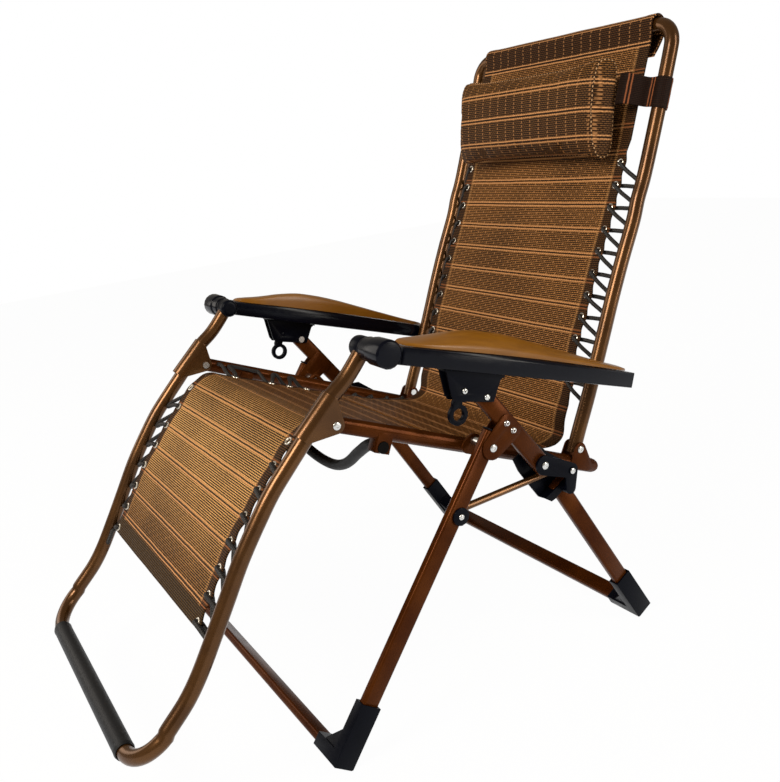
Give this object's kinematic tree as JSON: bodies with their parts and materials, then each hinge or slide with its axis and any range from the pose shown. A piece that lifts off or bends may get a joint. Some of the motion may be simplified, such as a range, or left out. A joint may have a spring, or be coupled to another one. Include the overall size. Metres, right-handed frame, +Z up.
{
  "type": "folding recliner",
  "caption": "Folding recliner with bent tube back and leg rest frames, crossed folding legs, a laced woven sling, a head pillow and armrests with lock levers.",
  "frame": {"origin": "on the floor, under the middle of the recliner's width and length at rest", "axes": "+Z up, -Y the way the sitter faces, +X the sitter's left"},
  "size_m": [0.704, 1.1558, 1.0681],
  "materials": {
    "bronze": "glossy metallic bronze paint on round tube",
    "brown": "satin red brown powder coat",
    "dark_tube": "satin black brown paint",
    "black": "moulded black plastic, fine grain",
    "steel": "bright plated rivets and pins",
    "caramel": "caramel coloured moulding with a soft gloss",
    "fabric": "brown bamboo look weave with pale double stripes",
    "strap": "dark brown webbing",
    "cord": "black braided elastic cord",
    "foam": "black foam grip"
  },
  "bodies": {
    "base": {"hanger_left": "brown", "hanger_right": "brown", "gusset_inner_left": "brown", "gusset_inner_right": "brown", "gusset_outer_left": "brown", "gusset_outer_right": "brown", "seat_pin_left": "steel", "seat_pin_right": "steel"},
    "seat": {"seat_rail_left": "brown", "seat_rail_right": "brown", "cross_tube": "dark_tube", "back_pin_left": "steel", "back_pin_right": "steel", "leg_rest_pin_left": "steel", "leg_rest_pin_right": "steel", "sling_seat": "fabric", "lacing_seat_left": "cord", "lacing_seat_right": "cord"},
    "leg_rest": {"leg_rest_frame": "bronze", "foam_grip": "foam", "arm_knuckle_left": "black", "arm_knuckle_right": "black", "sling_leg": "fabric", "lacing_leg_left": "cord", "lacing_leg_right": "cord"},
    "back": {"back_frame": "bronze", "sling_back": "fabric", "lacing_back_left": "cord", "lacing_back_right": "cord", "head_pillow": "fabric", "pillow_strap_left": "strap", "pillow_strap_right": "strap"},
    "armrest_l": {"armrest_left": "black", "inlay_left": "caramel"},
    "armrest_r": {"armrest_right": "black", "inlay_right": "caramel"},
    "arm_shoe_l": {"arm_shoe_left": "black", "arm_pin_left": "steel"},
    "arm_shoe_r": {"arm_shoe_right": "black", "arm_pin_right": "steel"},
    "lever_l": {"lock_lever_left": "black"},
    "lever_r": {"lock_lever_right": "black"},
    "front_legs": {"front_leg_frame": "brown", "front_shoe_left": "black", "front_shoe_right": "black", "leg_plug_left": "black", "leg_plug_right": "black", "strut_disc_left": "black", "strut_disc_right": "black"},
    "rear_legs": {"rear_leg_frame": "brown", "rear_fitting_left": "black", "rear_fitting_right": "black", "rear_leg_pin_left": "steel", "rear_leg_pin_right": "steel", "rear_shoe_left": "black", "rear_shoe_right": "black"},
    "strut_l": {"strut_left": "bronze"},
    "strut_r": {"strut_right": "bronze"}
  },
  "joints": [
    {"name": "recline", "type": "hinge", "parent": "base", "child": "seat", "pos_m": [0, 0.05236, 0.435], "axis": [1, 0, 0], "range_deg": [-24, 0]},
    {"name": "leg_rest_tilt", "type": "hinge", "parent": "seat", "child": "leg_rest", "pos_m": [0, -0.18764, 0.528], "axis": [1, 0, 0], "range_deg": [-21.7, 0]},
    {"name": "back_tilt", "type": "hinge", "parent": "seat", "child": "back", "pos_m": [0, 0.27636, 0.354], "axis": [1, 0, 0], "range_deg": [-15.97, 0]},
    {"name": "armrest_tilt_left", "type": "hinge", "parent": "leg_rest", "child": "armrest_l", "pos_m": [0.3, -0.11964, 0.628], "axis": [1, 0, 0], "range_deg": [0, 22.9]},
    {"name": "armrest_tilt_right", "type": "hinge", "parent": "leg_rest", "child": "armrest_r", "pos_m": [-0.3, -0.11964, 0.628], "axis": [1, 0, 0], "range_deg": [0, 22.9]},
    {"name": "arm_shoe_tilt_left", "type": "hinge", "parent": "base", "child": "arm_shoe_l", "pos_m": [0.3292, 0.04836, 0.52], "axis": [1, 0, 0], "range_deg": [-22.8, 0]},
    {"name": "arm_shoe_tilt_right", "type": "hinge", "parent": "base", "child": "arm_shoe_r", "pos_m": [-0.3292, 0.04836, 0.52], "axis": [1, 0, 0], "range_deg": [-22.8, 0]},
    {"name": "lock_lever_left_turn", "type": "hinge", "parent": "arm_shoe_l", "child": "lever_l", "pos_m": [0.3292, 0.00836, 0.54], "axis": [1, 0, 0], "range_deg": [-25, 0]},
    {"name": "lock_lever_right_turn", "type": "hinge", "parent": "arm_shoe_r", "child": "lever_r", "pos_m": [-0.3292, 0.00836, 0.54], "axis": [1, 0, 0], "range_deg": [-25, 0]},
    {"name": "leg_fold", "type": "hinge", "parent": "base", "child": "front_legs", "pos_m": [0, 0.05236, 0.435], "axis": [1, 0, 0], "range_deg": [-25, 0]},
    {"name": "rear_leg_fold", "type": "hinge", "parent": "base", "child": "rear_legs", "pos_m": [0, 0.15136, 0.376], "axis": [1, 0, 0], "range_deg": [-52, 0]},
    {"name": "strut_turn_left", "type": "hinge", "parent": "front_legs", "child": "strut_l", "pos_m": [0.3154, -0.02064, 0.342], "axis": [1, 0, 0], "range_deg": [0, 6.25]},
    {"name": "strut_turn_right", "type": "hinge", "parent": "front_legs", "child": "strut_r", "pos_m": [-0.3154, -0.02064, 0.342], "axis": [1, 0, 0], "range_deg": [0, 6.25]}
  ],
  "couplings": [
    {"joint": "leg_rest_tilt", "follows": "recline", "ratio": 0.904},
    {"joint": "back_tilt", "follows": "recline", "ratio": 0.665},
    {"joint": "armrest_tilt_left", "follows": "recline", "ratio": -0.954},
    {"joint": "armrest_tilt_right", "follows": "recline", "ratio": -0.954},
    {"joint": "arm_shoe_tilt_left", "follows": "recline", "ratio": 0.95},
    {"joint": "arm_shoe_tilt_right", "follows": "recline", "ratio": 0.95},
    {"joint": "rear_leg_fold", "follows": "leg_fold", "ratio": 2.08},
    {"joint": "strut_turn_left", "follows": "leg_fold", "ratio": -0.25},
    {"joint": "strut_turn_right", "follows": "leg_fold", "ratio": -0.25}
  ]
}
